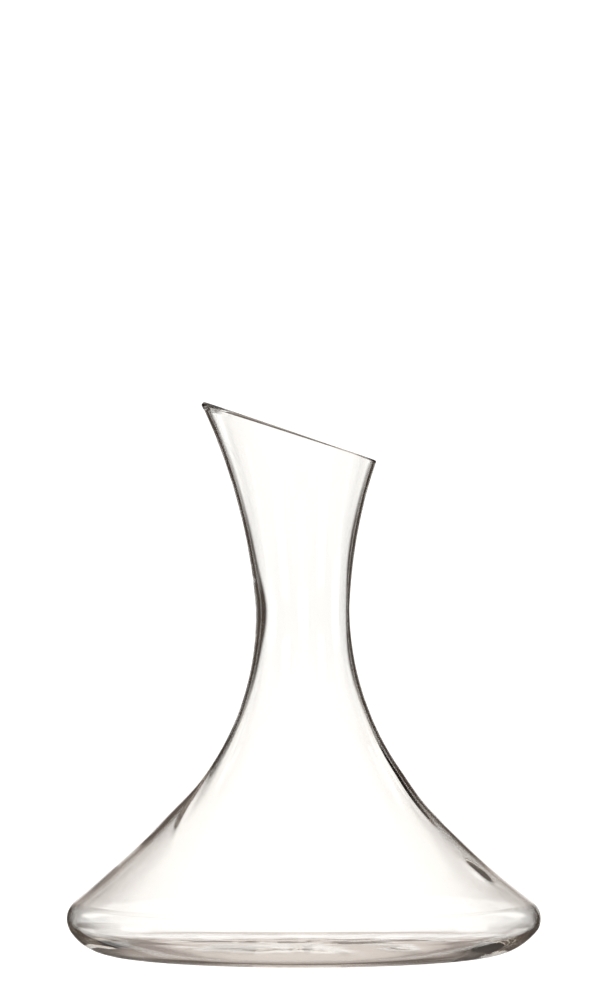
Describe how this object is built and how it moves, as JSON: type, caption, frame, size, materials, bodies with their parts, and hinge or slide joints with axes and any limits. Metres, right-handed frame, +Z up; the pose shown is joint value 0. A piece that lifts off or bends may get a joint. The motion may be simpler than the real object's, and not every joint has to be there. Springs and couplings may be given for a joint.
{
  "type": "wine decanter",
  "caption": "Clear glass wine decanter with a wide flat bowl, a waisted neck and a flared mouth cut on a slant to form a pouring lip.",
  "frame": {"origin": "on the vessel's axis, in the plane of the foot ring that it stands on", "axes": "+Z up along the vessel's axis, -X towards the high point of the slanted rim, which is the pouring lip"},
  "size_m": [0.205, 0.205, 0.2374],
  "materials": {
    "glass": "clear, fire-polished, very slightly warm grey where it is thick"
  },
  "bodies": {
    "root": {"glass_vessel": "glass"}
  },
  "joints": []
}
